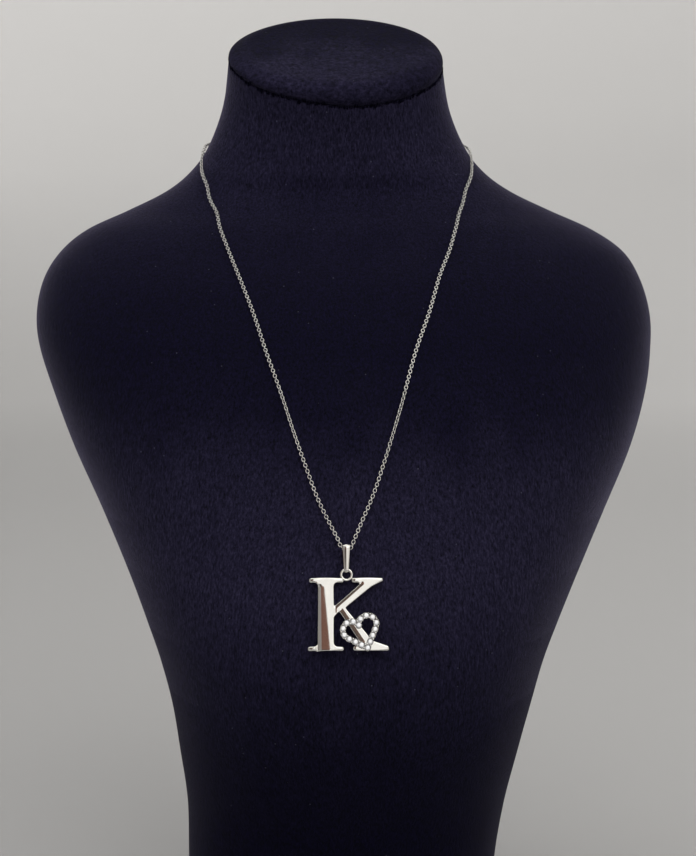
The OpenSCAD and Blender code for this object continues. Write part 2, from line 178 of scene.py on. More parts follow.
def piece(name, points, faces, material, body, nodes, crease=None):
    """A piece made of points in millimetres, with smooth faces that fold at crease degrees."""
    made = shape(name, (np.asarray(points) * MM).tolist(), faces, material)
    made.data.validate()
    made.data.shade_smooth()
    if crease is not None:
        made.data.set_sharp_from_angle(angle=math.radians(crease))
    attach(made, body)
    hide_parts(*nodes)
    return made


def skin(rings):
    """Points and faces of a closed skin through rings of equal length, flat at both ends."""
    n = len(rings[0])
    rows = len(rings)
    faces = [tuple(range(n))[::-1]]
    for r in range(rows - 1):
        for i in range(n):
            j = (i + 1) % n
            faces.append((r * n + i, r * n + j, (r + 1) * n + j, (r + 1) * n + i))
    faces.append(tuple((rows - 1) * n + i for i in range(n)))
    return np.concatenate(rings), faces


def material_with(name, **values):
    """A new material, and short ways to add nodes to it and to join them."""
    material = bpy.data.materials.new(name)
    material.use_nodes = True
    tree = material.node_tree
    shader = tree.nodes["Principled BSDF"]
    for socket, value in values.items():
        shader.inputs[socket.replace("_", " ")].default_value = value

    def add(kind, inputs=(), **settings):
        node = tree.nodes.new("ShaderNode" + kind)
        for key, value in settings.items():
            setattr(node, key, value)
        for key, value in dict(inputs).items():
            if isinstance(value, bpy.types.NodeSocket):
                tree.links.new(value, node.inputs[key])
            else:
                node.inputs[key].default_value = value
        return node

    def join(output, socket):
        tree.links.new(output, shader.inputs[socket])

    return material, add, join


def stretched(add, x, y, z):
    """Object coordinates, finer the larger the value along each axis."""
    place = add("TexCoord")
    return add("Mapping", {"Vector": place.outputs["Object"], "Scale": (x, y, z)})


def colour_ramp(add, factor, stops):
    ramp = add("ValToRGB", {"Fac": factor})
    elements = ramp.color_ramp.elements
    while len(elements) < len(stops):
        elements.new(0.5)
    for element, (position, colour) in zip(elements, stops):
        element.position = position
        element.color = (*colour, 1)
    return ramp


def velvet(name, lie_and_shade, sheen, along, across):
    """Velvet whose colour follows its height: lie_and_shade gives heights and how light the pile
    looks there, partly its lie and partly painted light and shade; along and across how fine its
    streaks are."""
    material, add, join = material_with(
        name,
        Roughness=0.9,
        Sheen_Weight=sheen,
        Sheen_Roughness=0.32,
        Sheen_Tint=(0.62, 0.58, 0.86, 1),
        Specular_IOR_Level=0.08,
    )
    place = add("TexCoord")
    split = add("SeparateXYZ", {0: place.outputs["Object"]})
    brushed = stretched(add, 60, 60, 24)
    patches = add("TexNoise", {"Vector": brushed.outputs[0], "Scale": 1.0, "Detail": 4.0,
                               "Roughness": 0.6})
    wander = add("MapRange", {"Value": patches.outputs["Fac"], "To Min": -PILE_WANDER,
                              "To Max": PILE_WANDER})
    height = add("Math", {0: split.outputs["Z"], 1: wander.outputs[0]}, operation="ADD")
    share = add("MapRange", {"Value": height.outputs[0], "From Min": 0.0, "From Max": PILE_TOP})
    # Painted light and shade: the base colour is lighter and darker in bands by height.
    tone = colour_ramp(add, share.outputs[0], [
        (z / PILE_TOP, [deep + light * gain for deep, gain in PILE_DYE]) for z, light in lie_and_shade
    ])
    streaks = stretched(add, across, across, along)
    pile = add("TexNoise", {"Vector": streaks.outputs[0], "Scale": 1.0, "Detail": 5.0,
                            "Roughness": 0.8})
    tufts = colour_ramp(add, pile.outputs["Fac"],
                        [(0.34, (0.05, 0.05, 0.09)), (0.5, (0.45, 0.45, 0.48)), (0.66, (1, 1, 1))])
    woven = add("Mix", {"Factor": 1.0, "A": tone.outputs[0], "B": tufts.outputs[0]},
                data_type="RGBA", blend_type="MULTIPLY")
    lint_place = stretched(add, 190, 190, 190)
    lint = add("TexVoronoi", {"Vector": lint_place.outputs[0], "Scale": 1.0})
    speck = colour_ramp(add, lint.outputs["Distance"],
                        [(0.03, (0.05, 0.05, 0.065)), (0.05, (0, 0, 0))])
    dusted = add("Mix", {"Factor": 1.0, "A": woven.outputs["Result"], "B": speck.outputs[0]},
                 data_type="RGBA", blend_type="ADD")
    join(dusted.outputs["Result"], "Base Color")
    nap = add("Bump", {"Height": pile.outputs["Fac"], "Strength": 0.5, "Distance": 0.0005})
    join(nap.outputs[0], "Normal")
    return material


# Heights in metres, and how light the pile looks there: partly how its pile lies, partly painted
# light and shade in broad bands by height.
PILE_LIE_AND_SHADE = [(0.005, 0.0024), (0.045, 0.0020), (0.075, 0.0046), (0.105, 0.0108), (0.135, 0.0175),
            (0.165, 0.0145), (0.190, 0.0045), (0.212, 0.0024), (0.240, 0.0040),
            (0.258, 0.0080), (0.280, 0.0150), (0.305, 0.0150)]
STREAKS = (480, 1400)
# Low down the velvet's edge shine is turned down in steps, on shaded copies of the velvet: painted
# shade on the lower sides.
SHADED_LOW_PILE = [(0.150, 0.20), (0.132, 0.145), (0.112, 0.10), (0.090, 0.06)]
bust_velvet = velvet("navy_velvet", PILE_LIE_AND_SHADE, 0.26, *STREAKS)

foot = []
for k in range(FOOT_STEPS + 1):
    turn = k / FOOT_STEPS * math.pi / 2
    height = FOOT_ROUND * (1 - math.cos(turn))
    row = SECTIONS[0].copy()
    row[HEIGHT] = height / BUST_H
    foot.append(section_point(row, CLOTH_ANGLES, FOOT_ROUND * (1 - math.sin(turn))))
body_rows = int((TOP_STATION - FIRST_STATION) * ROWS_PER_SECTION) + 1
body_rings = [
    cloth_point(t, CLOTH_ANGLES) for t in np.linspace(FIRST_STATION, TOP_STATION, body_rows)
]
cap_up = np.array([0, -math.sin(NECK_TILT), math.cos(NECK_TILT)])
neck_top = SECTIONS[TOP_STATION]


def seat_lift(angle):
    """How far the crease under the cap rises at an angle, in millimetres: the cap is
    pressed on a little out of level."""
    across = np.sin(np.radians(angle))
    return SADDLE * across**2 - CAP_ROLL * np.sign(across) * np.sqrt(np.abs(across))


saddle = seat_lift(CLOTH_ANGLES)[:, None] * cap_up
for k in range(SADDLE_ROWS):
    body_rings[-1 - k] = body_rings[-1 - k] + saddle * (1 - k / SADDLE_ROWS)
shoulder_turn = [
    section_point(neck_top, CLOTH_ANGLES, NECK_EDGE * inward) + NECK_EDGE * rise * cap_up + saddle
    for inward, rise in ((0.3, 0.25), (0.65, 0.42), (1.0, 0.5))
]
points, faces = skin(foot + body_rings + shoulder_turn)
bust = piece("bust_velvet", points, faces, bust_velvet, "display", ["bust"], 60)
# Shaded copies of the velvet, with less sheen, below each of these heights: painted shade.
for height, sheen in SHADED_LOW_PILE:
    bust.data.materials.append(
        velvet(f"navy_velvet_shaded_low_{height * 1000:.0f}", PILE_LIE_AND_SHADE, sheen, *STREAKS))
for face in bust.data.polygons:
    face.material_index = sum(face.center.z < height for height, _ in SHADED_LOW_PILE)


# Neck cap: an oval board with a rounded rim, covered in the same velvet and pressed on
# the cut top of the neck. The cloth frays a little in the crease below it.
CAP_H = 7.5
CAP_CREASE = 0.9
CAP_RIM = 0.26
CAP_RIM_STEPS = 13
CAP_TOP_STEPS = 4
CAP_TOP_STEP = 4.5
CLOTH_GAP = 0.3
FRAY_TUFTS = 190
FRAY_HAIRS = 8
FRAY_LENGTH = 2.3
FRAY_WIDTH = 0.16
FRAY_SPREAD = 0.9

cap_seat = NECK_EDGE / 2 + CLOTH_GAP
cap_rows = [(CAP_CREASE, 0.0), (CAP_CREASE * 0.4, 0.04), (CAP_CREASE * 0.12, 0.12)]
for k in range(CAP_RIM_STEPS + 1):
    turn = k / CAP_RIM_STEPS * math.pi / 2
    inset = CAP_EDGE * (1 - math.cos(turn)) ** 1.15
    cap_rows.append((inset, CAP_RIM + 0.70 * math.sin(turn) ** 1.1))
for k in range(1, CAP_TOP_STEPS + 1):
    crown = 0.96 + 0.04 * math.sin(k / CAP_TOP_STEPS * math.pi / 2)
    cap_rows.append((CAP_EDGE + k * CAP_TOP_STEP, crown))
cap_rings = [
    section_point(neck_top, CLOTH_ANGLES, inset) + (cap_seat + CAP_H * rise) * cap_up
    + saddle * max(0, 1 - rise / 0.8)
    for inset, rise in cap_rows
]
points, faces = skin(cap_rings)
# The cap's tone falls from its rim to its top: painted light at the rim and painted shade over the
# top.
cap_velvet = velvet("cap_velvet", [(0.29, 0.0170), (0.310, 0.0105), (0.318, 0.0022),
                                   (0.328, 0.0003)], 0.045, 620, 620)
piece("neck_cap_velvet", points, faces, cap_velvet, "display", ["neck_cap"], 75)

draw = random.Random(4)
points, faces = [], []
for k in range(FRAY_TUFTS * FRAY_HAIRS):
    if k % FRAY_HAIRS == 0:
        tuft = k / FRAY_HAIRS * 360 / FRAY_TUFTS + draw.uniform(-1, 1)
        way = draw.choice((-1, -1, 1))
        reach = FRAY_LENGTH * draw.uniform(0.25, 1.0) ** 1.5
        comb = draw.uniform(-0.5, 0.5)
    angle = tuft + draw.uniform(-FRAY_SPREAD, FRAY_SPREAD)
    edge = section_point(neck_top, angle, -0.02)
    out = unit(section_point(neck_top, angle, 0) - section_point(neck_top, angle, 5))
    side = unit(np.cross(out, cap_up))
    root = edge + (seat_lift(angle) + cap_seat + draw.uniform(-0.6, 0.4)) * cap_up
    tip = root + reach * draw.uniform(0.6, 1.0) * unit(
        out * draw.uniform(0.05, 0.25) + (comb + draw.uniform(-0.2, 0.2)) * side + way * cap_up)
    base = len(points)
    across = side * FRAY_WIDTH
    points += [root - across, root + across, root - out * FRAY_WIDTH, tip]
    faces += [(base, base + 3, base + 1), (base + 1, base + 3, base + 2),
              (base + 2, base + 3, base), (base, base + 1, base + 2)]
# The fibres are much darker than the velvet: painted shade in the crease under the cap.
fray_velvet, add, join = material_with("frayed_pile", Roughness=1.0, Specular_IOR_Level=0.02)
clump = add("TexNoise", {"Scale": 700.0})
crease_shade = colour_ramp(add, clump.outputs["Fac"],
                  [(0.35, (0.0008, 0.0006, 0.0040)), (0.65, (0.0038, 0.0032, 0.0105))])
join(crease_shade.outputs[0], "Base Color")
piece("cap_fray", points, faces, fray_velvet, "display", ["neck_cap"])


# Chain: a fine silver cable chain, each link a soldered oval of round wire that stands at
# right angles to the next. It lies on the velvet, goes round the back of the neck and
# passes through the bail, which hangs on its lowest links.
CHAIN_W = 1.5
LINK_LENGTH = 1.72
LINK_WIDTH = 1.36
LINK_WIRE = 0.31
LINK_PITCH = 1.05
TWIST = 42
TWIST_AT = 49
TWIST_REACH = 13
LINK_PLAY = 11
LINK_STEPS = 16
WIRE_SIDES = 6
EYE_GAP = 0.7
BAIL_WALL = 0.45
# The chain's way over the velvet: station up the bust, degrees from the front, extra lift.
RIGHT_ROUTE = [
    [19.0, 142, 0], [19.0, 108, 0], [18.70, 79.5, 0], [17.35, 51, 0], [16.10, 35, 0],
    [15.10, 25.5, 0], [13.85, 18, 0], [12.15, 12.8, 0], [10.70, 8.9, 0], [9.65, 5.8, 0],
    [8.75, 2.7, 0], [8.35, 0.9, 0.27],
]
LEFT_ROUTE = [
    [8.35, -5.2, 0.27], [8.75, -7, 0], [9.65, -9.6, 0], [10.90, -12, 0], [12.40, -15, 0],
    [14.20, -21.5, 0], [15.50, -30, 0], [16.50, -41.5, 0], [17.70, -58, 0],
    [18.90, -86, 0], [19.0, -112, 0], [19.0, -144, 0],
]
# From the chain's lowest point up one side, in chain widths.
HANGING_ROUTE = [(0, 0.20), (0.55, 0.24), (0.95, 0.44), (1.33, 0.98), (1.60, 1.9)]
HANGING_STEPS = 12
ROUTE_STEPS = 6
CLASP_STATION = 19
CLASP_L = 11
PENDANT_X = SHOULDER_W * -0.0035
HANG_STATION = 7.86

hang_row = spline(SECTIONS, HANG_STATION)
hang_share = (PENDANT_X - hang_row[CENTRE] * SHOULDER_W) / (hang_row[HALF] * SHOULDER_W)
hang_angle = math.degrees(
    math.copysign(math.asin(abs(hang_share) ** (hang_row[FRONT_N] / 2)), hang_share)
)
chest_normal = cloth_normal(HANG_STATION, hang_angle)
chest_lean = math.atan2(chest_normal[2], -chest_normal[1])
eye_r = CHAIN_W / 2 + EYE_GAP
hang_point = section_point(hang_row, hang_angle) + (eye_r + BAIL_WALL + CLOTH_GAP) * np.array(
    [0, -math.cos(chest_lean), math.sin(chest_lean)]
)


def on_cloth(row):
    station, angle, lift = row
    away = CHAIN_W * (0.5 + lift) + CLOTH_GAP
    out = cloth_normal(station, angle)
    return cloth_point(station, angle) + away * out, out


def route(rows):
    steps = (len(rows) - 1) * ROUTE_STEPS
    return [on_cloth(spline(rows, k / ROUTE_STEPS)) for k in range(steps + 1)]


def hanging(side):
    out = np.array([0, -math.cos(chest_lean), math.sin(chest_lean)])
    last = len(HANGING_ROUTE) - 1
    rows = [spline(HANGING_ROUTE, last * k / HANGING_STEPS) for k in range(HANGING_STEPS + 1)]
    return [
        (hang_point + CHAIN_W * np.array(
            [side * p[0], p[1] * math.sin(chest_lean), p[1] * math.cos(chest_lean)]), out)
        for p in rows
    ]


clasp_row = spline(SECTIONS, CLASP_STATION)
clasp_angle = 180 - math.degrees(
    math.asin((CLASP_L / 2 + 2 * CLOTH_GAP) / (clasp_row[HALF] * SHOULDER_W))
)
chain_route = (
    route([[CLASP_STATION, clasp_angle, 0]] + RIGHT_ROUTE)
    + hanging(1)[:0:-1]
    + hanging(-1)
    + route(LEFT_ROUTE + [[CLASP_STATION, -clasp_angle, 0]])
)
chain_points = np.array([p for p, _ in chain_route])
chain_outs = np.array([n for _, n in chain_route])
chain_reach = np.concatenate(
    [[0], np.cumsum(np.linalg.norm(np.diff(chain_points, axis=0), axis=1))]
)


def along_chain(s):
    point = np.array([np.interp(s, chain_reach, chain_points[:, a]) for a in range(3)])
    out = unit([np.interp(s, chain_reach, chain_outs[:, a]) for a in range(3)])
    return point, out


def tube_faces(steps, sides):
    """Faces of a closed tube through rings of points."""
    faces = []
    for k in range(steps):
        a, b = k * sides, (k + 1) % steps * sides
        faces += [(a + j, b + j, b + (j + 1) % sides, a + (j + 1) % sides)
                  for j in range(sides)]
    return faces


def oval_link(length, width, wire, steps, sides):
    """One closed link of round wire, lying flat: its length along x and its width along y."""
    bend = (width - wire) / 2
    straight = (length - width) / 2
    rings = []
    for k in range(steps):
        turn = 2 * math.pi * (k + 0.5) / steps
        middle = np.array([
            math.copysign(straight, math.cos(turn)) + bend * math.cos(turn),
            bend * math.sin(turn), 0,
        ])
        outward = np.array([math.cos(turn), math.sin(turn), 0])
        rings.append([
            middle + wire / 2 * (math.cos(2 * math.pi * j / sides) * outward
                                 + math.sin(2 * math.pi * j / sides) * np.array([0, 0, 1]))
            for j in range(sides)
        ])
    return np.concatenate(rings), tube_faces(steps, sides)


def polished(name, colour, roughness, grain_scale, grain):
    """Bright plated silver with a very fine polishing grain."""
    material, add, join = material_with(name, Metallic=1.0)
    rubbed = stretched(add, grain_scale, grain_scale * 0.3, grain_scale * 0.5)
    wear = add("TexNoise", {"Vector": rubbed.outputs[0], "Scale": 1.0, "Detail": 3.0})
    tone = colour_ramp(add, wear.outputs["Fac"],
                       [(0.3, [c * 0.93 for c in colour]), (0.7, colour)])
    join(tone.outputs[0], "Base Color")
    span = add("MapRange", {"Value": wear.outputs["Fac"], "To Min": roughness * 0.6,
                            "To Max": roughness * 1.5})
    join(span.outputs[0], "Roughness")
    lines = add("Bump", {"Height": wear.outputs["Fac"], "Strength": grain,
                         "Distance": 0.00002})
    join(lines.outputs[0], "Normal")
    return material


link_points, link_faces = oval_link(LINK_LENGTH, LINK_WIDTH, LINK_WIRE, LINK_STEPS, WIRE_SIDES)
draw = random.Random(11)
link_count = int(chain_reach[-1] / LINK_PITCH) // 2 * 2 + 1
link_pitch = chain_reach[-1] / link_count
points, faces = [], []
for k in range(link_count):
    s = (k + 0.5) * link_pitch
    middle, out = along_chain(s)
    ahead, _ = along_chain(min(s + 0.5, chain_reach[-1]))
    behind, _ = along_chain(max(s - 0.5, 0))
    forward = unit(ahead - behind)
    side = unit(np.cross(out, forward))
    up = np.cross(forward, side)
    from_bail = abs(s - chain_reach[-1] / 2)
    twist = TWIST * math.exp(-((from_bail - TWIST_AT) / TWIST_REACH) ** 2)
    roll = math.radians(90 * (k % 2) + twist + draw.uniform(-LINK_PLAY, LINK_PLAY))
    across = math.cos(roll) * side + math.sin(roll) * up
    through = np.cross(forward, across)
    base = len(points) * len(link_points)
    points.append(middle + link_points @ np.array([forward, across, through]))
    faces += [tuple(base + i for i in face) for face in link_faces]
chain_silver = polished("chain_silver", (0.71, 0.70, 0.68), 0.14, 900, 0.1)
piece("chain_links", np.concatenate(points), faces, chain_silver, "display",
      ["chain"])


# Clasp: a plain closed loop of flat silver at the back of the neck, its edges tumbled
# round. The last link of each end of the chain sits at its two ends.
CLASP_W = 5
CLASP_T = 2.2
CLASP_WALL = CLASP_W * 0.26
CLASP_STEPS = 64

clasp_out = cloth_normal(CLASP_STATION, 180.0)
clasp_place = cloth_point(CLASP_STATION, 180.0) + 1.5 * CLOTH_GAP * clasp_out
clasp_up = unit(np.cross([-1, 0, 0], clasp_out))
clasp_right = np.cross(clasp_out, clasp_up)


def rounded_bar(middles, outwards, ups, half_width, half_height, sides=12, power=2.6):
    """Points and faces of a closed loop of flat bar with tumbled edges."""
    rings = []
    for middle, outward, up in zip(middles, outwards, ups):
        ring = []
        for j in range(sides):
            turn = 2 * math.pi * (j + 0.5) / sides
            c, s = math.cos(turn), math.sin(turn)
            a = math.copysign(abs(c) ** (2 / power), c) * half_width
            b = math.copysign(abs(s) ** (2 / power), s) * half_height
            ring.append(middle + a * outward + b * up)
        rings.append(ring)
    return np.concatenate(rings), tube_faces(len(rings), sides)


middles, outwards = [], []
clasp_bend = (CLASP_W - CLASP_WALL) / 2
clasp_straight = (CLASP_L - CLASP_W) / 2
for k in range(CLASP_STEPS):
    turn = 2 * math.pi * (k + 0.5) / CLASP_STEPS
    outward = math.cos(turn) * clasp_right + math.sin(turn) * clasp_up
    stretch = math.copysign(clasp_straight, math.cos(turn)) * clasp_right
    middles.append(clasp_place + CLASP_T / 2 * clasp_out + stretch + clasp_bend * outward)
    outwards.append(outward)
points, faces = rounded_bar(middles, outwards, [clasp_out] * CLASP_STEPS,
                            CLASP_WALL / 2, CLASP_T / 2)
clasp_silver = polished("clasp_silver", (0.80, 0.79, 0.77), 0.12, 700, 0.1)
piece("clasp_loop", points, faces, clasp_silver, "display", ["clasp"], 50)


# Bail: a strip of polished silver folded into a long drop, wide where it carries the
# chain and narrow where it holds the pendant's ring, with a sharp ridge down its middle.
BAIL_TOP_W = 2.5
BAIL_LOW_W = 1.4
BAIL_DROP = 6.45
BAIL_TUCK = math.radians(6)
BAIL_RISE = 0.18
RING_WIRE = 0.93
HOOK_GAP = 0.33
BAIL_ARC_STEPS = 20
BAIL_SIDE_STEPS = 10

hook_r = RING_WIRE / 2 + HOOK_GAP
bail_lean = chest_lean - BAIL_TUCK
ring_point = hang_point - BAIL_DROP * np.array([0, math.sin(bail_lean), math.cos(bail_lean)])
taper = math.asin((eye_r - hook_r) / BAIL_DROP)
bail_path = []
for k in range(BAIL_ARC_STEPS + 1):
    turn = -taper + (math.pi + 2 * taper) * k / BAIL_ARC_STEPS
    bail_path.append(((0.0, 0.0), eye_r, turn))
for k in range(1, BAIL_SIDE_STEPS):
    share = k / BAIL_SIDE_STEPS
    r = eye_r + (hook_r - eye_r) * share
    bail_path.append(((0.0, -BAIL_DROP * share), r, math.pi + taper))
for k in range(BAIL_ARC_STEPS + 1):
    turn = math.pi + taper + (math.pi - 2 * taper) * k / BAIL_ARC_STEPS
    bail_path.append(((0.0, -BAIL_DROP), hook_r, turn))
for k in range(BAIL_SIDE_STEPS - 1, 0, -1):
    share = k / BAIL_SIDE_STEPS
    r = eye_r + (hook_r - eye_r) * share
    bail_path.append(((0.0, -BAIL_DROP * share), r, 2 * math.pi - taper))
bail_high = eye_r + BAIL_WALL
bail_low = -BAIL_DROP - hook_r - BAIL_WALL
# Across the strip, with its ridge: shares of the half width, shares of the wall.
BAIL_PROFILE = [(-1, 0.04), (-0.97, 0.45), (-0.88, 0.64), (-0.03, 1.36), (0.03, 1.36),
                (0.88, 0.64), (0.97, 0.45), (1, 0.04), (0.9, 0), (-0.9, 0)]
points, faces = [], []
tilt = np.array([[1, 0, 0],
                 [0, math.cos(bail_lean), math.sin(bail_lean)],
                 [0, -math.sin(bail_lean), math.cos(bail_lean)]])
for (y, z), r, turn in bail_path:
    inner = np.array([0, y + r * math.cos(turn), z + r * math.sin(turn)])
    inner[2] += BAIL_RISE * np.clip(inner[2] / 1.2 + 0.4, 0, 1)
    out = np.array([0, math.cos(turn), math.sin(turn)])
    level = inner[2]
    share = (level - bail_low) / (bail_high - bail_low)
    half = (BAIL_LOW_W + (BAIL_TOP_W - BAIL_LOW_W) * share) / 2
    for across, height in BAIL_PROFILE:
        rise = height * BAIL_WALL * (0.86 if 0.1 < height else 1)
        points.append(tilt @ (inner + out * rise + np.array([across * half, 0, 0])) + hang_point)
n = len(BAIL_PROFILE)
for k in range(len(bail_path)):
    for j in range(n):
        a, b = k * n, (k + 1) % len(bail_path) * n
        faces.append((a + j, a + (j + 1) % n, b + (j + 1) % n, b + j))
bail_silver = polished("bail_silver", (0.76, 0.73, 0.70), 0.10, 600, 0.12)
piece("bail_strip", points, faces, bail_silver, "bail", ["bail"], 24)


# Letter: a plain serif K cast in silver, its front polished to soft pillows with rounded
# edges and its back left flat. The hanging ring is soldered between its upper serifs.
LETTER_W = 26.4
LETTER_H = 24
LETTER_T = 2.2
STEM_W = 5.3
SERIF_H = 1.7
LEG_W = 3.8
RING_D = 4.35
CORNER_STEPS = 6
EDGE_INSETS = (0.03, 0.10, 0.22, 0.38)
DOME_SPACING = 0.24
EDGE_HEIGHT = 1.0
DOME_HEIGHT = 1.02
DOME_RADIUS = 0.75
STEM_TWIST = 0.0050
STEM_CROWN = 0.0264
LEG_BEVEL = 0.12
LEG_BEVEL_W = 1.65
ARM_BEVEL = 0.16
ARM_BEVEL_W = 1.15
SHOULDER_AT = 1.5
SHOULDER_FALL = 0.24
STEM_REACH = 3.5
LEANS_ON = np.arange(6.2, 7.41, 0.1)

END, BRACKET, CROTCH = 0.46, 0.65, 0.12
stem_l = LETTER_W * 0.125
stem_r = stem_l + STEM_W
serif_out = LETTER_W * 0.124
top_l = LETTER_W * 0.015
top_under = LETTER_H - SERIF_H * 1.09
arm_l = LETTER_W * 0.54
leg_l = LETTER_W * 0.551
leg_foot = LETTER_W * 0.655
# Corners anticlockwise from the lower left, with the roundness of each in serif heights.
LETTER_CORNERS = np.array([
    (0, 0, END), (stem_r + serif_out, 0, END), (stem_r + serif_out, SERIF_H, END),
    (stem_r, SERIF_H, BRACKET), (stem_r, LETTER_H * 0.457, CROTCH),
    (LETTER_W * 0.386, LETTER_H * 0.53, CROTCH), (leg_foot, SERIF_H * 1.2, 0.47),
    (leg_l, SERIF_H * 1.15, 0.5), (leg_l, 0, 0.5), (LETTER_W, 0, END),
    (LETTER_W, SERIF_H, END), (leg_foot + LEG_W, SERIF_H * 2, 1.5),
    (LETTER_W * 0.47, LETTER_H * 0.583, CROTCH), (LETTER_W * 0.788, LETTER_H * 0.87, 3),
    (LETTER_W * 0.933, LETTER_H * 0.946, 0.32), (LETTER_W * 0.935, LETTER_H, 0.32),
    (arm_l, LETTER_H, END), (arm_l, top_under, END), (LETTER_W * 0.653, top_under, 0.18),
    (stem_r, LETTER_H * 0.609, CROTCH), (stem_r, top_under, BRACKET),
    (stem_r + serif_out, top_under, END), (stem_r + serif_out, LETTER_H, END),
    (top_l, LETTER_H, END), (top_l, top_under, END), (stem_l, top_under, BRACKET),
    (stem_l, SERIF_H, BRACKET), (0, SERIF_H, END),
])


def left_of(v):
    return np.array([-v[1], v[0]])


def rounded(rows, inset):
    """The letter's outline with round corners, its edges moved inward by inset."""
    n = len(rows)
    corners = []
    for i in range(n):
        here = rows[i][:2]
        before = left_of(unit(here - rows[i - 1][:2]))
        after = left_of(unit(rows[(i + 1) % n][:2] - here))
        corners.append(here + (before + after) * inset / (1 + before @ after))
    outline = []
    for i in range(n):
        here = corners[i]
        d1 = unit(here - corners[i - 1])
        d2 = unit(corners[(i + 1) % n] - here)
        turn = math.atan2(d1[0] * d2[1] - d1[1] * d2[0], d1 @ d2)
        way = math.copysign(1, turn)
        r = max(rows[i][2] * SERIF_H - way * inset, SERIF_H * 0.02)
        middle = here - d1 * r * math.tan(abs(turn) / 2) + way * r * left_of(d1)
        start = -way * left_of(d1)
        for k in range(CORNER_STEPS + 1):
            c, s = math.cos(turn * k / CORNER_STEPS), math.sin(turn * k / CORNER_STEPS)
            outline.append(middle + r * np.array([
                start[0] * c - start[1] * s, start[0] * s + start[1] * c,
            ]))
    return np.array(outline)


def divided(loop, longest):
    """A closed loop with its long edges cut into steps."""
    out = []
    for a, b in zip(loop, np.roll(loop, -1, axis=0)):
        steps = max(1, int(math.ceil(np.linalg.norm(b - a) / longest)))
        out += [a + (b - a) * k / steps for k in range(steps)]
    return np.array(out)


def from_edge(points, loop):
    """How far each point lies from a closed loop, and whether it is inside it."""
    nearest = np.full(len(points), 1e9)
    inside = np.zeros(len(points), bool)
    for p, q in zip(loop, np.roll(loop, -1, axis=0)):
        along = q - p
        share = np.clip(((points - p) @ along) / max(along @ along, 1e-12), 0, 1)
        gap = np.linalg.norm(points - p - share[:, None] * along, axis=1)
        nearest = np.minimum(nearest, gap)
        if p[1] != q[1]:
            crosses = (p[1] > points[:, 1]) != (q[1] > points[:, 1])
            cut = p[0] + (points[:, 1] - p[1]) * along[0] / along[1]
            inside ^= crosses & (points[:, 0] < cut)
    return nearest, inside


def filled(loops, guides):
    """Triangles between closed loops, the first of them the outer one, through the guide
    points. Returns the points, the triangles and the places of each loop's points."""
    edges, start = [], 0
    for loop in loops:
        edges += [(start + k, start + (k + 1) % len(loop)) for k in range(len(loop))]
        start += len(loop)
    flat = np.concatenate(list(loops) + list(guides))
    made = delaunay_2d_cdt([Vector(p) for p in flat], edges, [], 0, 1e-6)
    points = np.array([tuple(p) for p in made[0]])
    triangles = np.array(made[2])
    within = np.ones(len(triangles), bool)
    for i, loop in enumerate(loops):
        within &= from_edge(points[triangles].mean(axis=1), loop)[1] == (i == 0)
    place = {old: new for new, olds in enumerate(made[3]) for old in olds}
    rims, start = [], 0
    for loop in loops:
        rims.append([place[start + k] for k in range(len(loop))])
        start += len(loop)
    return points, [tuple(face) for face in triangles[within].tolist()], rims


def free_points(loops, spacing, margin):
    """An even field of points between closed loops, clear of their edges."""
    low, high = loops[0].min(0), loops[0].max(0)
    rows = []
    for j, y in enumerate(np.arange(low[1], high[1], spacing * 0.866)):
        x = np.arange(low[0] + (j % 2) * spacing / 2, high[0], spacing)
        rows.append(np.stack([x, np.full(len(x), y)], axis=1))
    field = np.concatenate(rows)
    keep = np.ones(len(field), bool)
    for i, loop in enumerate(loops):
        gap, inside = from_edge(field, loop)
        keep &= (gap > margin) & (inside == (i == 0))
    return field[keep]


def swelling(points, triangles, rims):
    """How a thin skin held at its rims swells, worked out over its triangles."""
    tri = np.array(triangles)
    sides = [points[tri[:, (k + 1) % 3]] - points[tri[:, k]] for k in range(3)]
    area = np.abs(sides[0][:, 0] * sides[2][:, 1] - sides[0][:, 1] * sides[2][:, 0]) / 2
    area = np.maximum(area, 1e-9)
    rows, cols, weights = [], [], []
    for k in range(3):
        opposite = -(sides[(k + 1) % 3] * sides[(k + 2) % 3]).sum(1) / (4 * area)
        rows += [tri[:, k], tri[:, (k + 1) % 3]]
        cols += [tri[:, (k + 1) % 3], tri[:, k]]
        weights += [opposite, opposite]
    rows, cols = np.concatenate(rows), np.concatenate(cols)
    weights = np.clip(np.concatenate(weights), 1e-3, 50)
    n = len(points)
    total = np.bincount(rows, weights, n)
    free = np.ones(n)
    for rim in rims:
        free[rim] = 0
    u = np.zeros(n)
    rest = free * np.bincount(tri.ravel(), np.repeat(area / 3, 3), n)
    way = rest / total
    size = rest @ way
    for _ in range(900):
        push = free * (total * way - np.bincount(rows, weights * way[cols], n))
        step = size / (way @ push)
        u += step * way
        rest -= step * push
        eased = rest / total
        size, before = rest @ eased, size
        if size < 1e-13:
            break
        way = eased + size / before * way
    return np.sqrt(2 * np.maximum(u, 0))


def plate(front, front_z, triangles, rims, back_z):
    """Points and faces of a plate with a shaped front, upright sides and a flat back."""
    loops = [front[rim] for rim in rims]
    back, back_triangles, back_rims = filled(loops, [])
    points = np.concatenate([
        np.column_stack([front, front_z]), np.column_stack([back, np.full(len(back), back_z)]),
    ])
    n = len(front)
    faces = list(triangles) + [tuple(n + i for i in face[::-1]) for face in back_triangles]
    for i, (rim, under) in enumerate(zip(rims, back_rims)):
        for k in range(len(rim)):
            a, b = rim[k], rim[(k + 1) % len(rim)]
            c, d = n + under[(k + 1) % len(rim)], n + under[k]
            faces.append((a, d, c, b) if i == 0 else (a, b, c, d))
    return points, faces


def rest_lean(station):
    """How far the letter leans on the velvet at one station below the ring."""
    place = cloth_point(station, 0.0)
    fore, down = ring_point[1] - place[1], ring_point[2] - place[2]
    return math.atan2(fore, down) + math.asin(
        (LETTER_T / 2 + CLOTH_GAP) / math.hypot(fore, down)
    )


